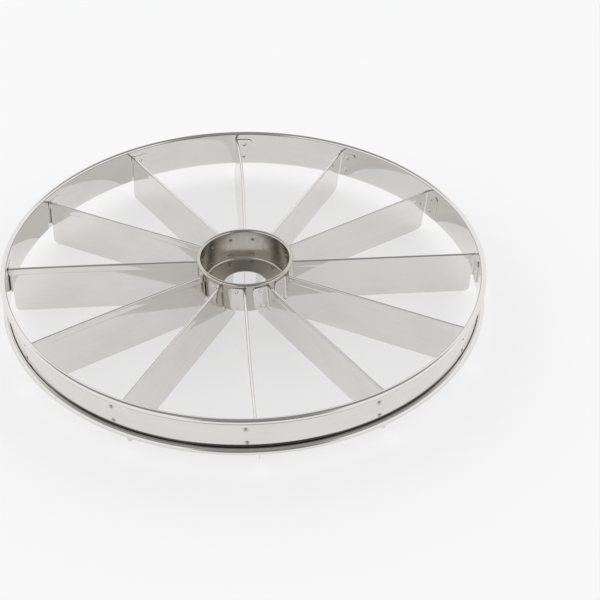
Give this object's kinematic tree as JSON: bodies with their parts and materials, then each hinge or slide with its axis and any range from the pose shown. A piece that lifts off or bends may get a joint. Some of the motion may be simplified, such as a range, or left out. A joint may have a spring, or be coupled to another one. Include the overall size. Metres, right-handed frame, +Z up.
{
  "type": "cake portion marker",
  "caption": "Round sheet-steel cake portion marker: radial blades welded between a beaded outer band and an open hub cup press even slice lines into a cake.",
  "frame": {"origin": "on the axis, level with the blades' marking edges, on the surface that the marker stands on", "axes": "+Z up along the axis, towards the rolled lip of the hub; +X along the middle of blade_01"},
  "size_m": [0.3014, 0.3014, 0.036],
  "materials": {
    "polished_steel": "mirror-polished stainless sheet",
    "satin_steel": "satin stainless sheet",
    "weld_metal": "dull fused steel"
  },
  "bodies": {
    "root": {"outer_band": "polished_steel", "hub_cup": "satin_steel", "blade_01": "polished_steel", "blade_02": "polished_steel", "blade_03": "polished_steel", "blade_04": "polished_steel", "blade_05": "polished_steel", "blade_06": "polished_steel", "blade_07": "polished_steel", "blade_08": "polished_steel", "blade_09": "polished_steel", "blade_10": "polished_steel", "blade_11": "polished_steel", "blade_12": "polished_steel", "rim_weld_01": "weld_metal", "rim_weld_02": "weld_metal", "rim_weld_03": "weld_metal", "rim_weld_04": "weld_metal", "rim_weld_05": "weld_metal", "rim_weld_06": "weld_metal", "rim_weld_07": "weld_metal", "rim_weld_08": "weld_metal", "rim_weld_09": "weld_metal", "rim_weld_10": "weld_metal", "rim_weld_11": "weld_metal", "rim_weld_12": "weld_metal", "hub_weld_01": "weld_metal", "hub_weld_02": "weld_metal", "hub_weld_03": "weld_metal", "hub_weld_04": "weld_metal", "hub_weld_05": "weld_metal", "hub_weld_06": "weld_metal", "hub_weld_07": "weld_metal", "hub_weld_08": "weld_metal", "hub_weld_09": "weld_metal", "hub_weld_10": "weld_metal", "hub_weld_11": "weld_metal", "hub_weld_12": "weld_metal"}
  },
  "joints": []
}
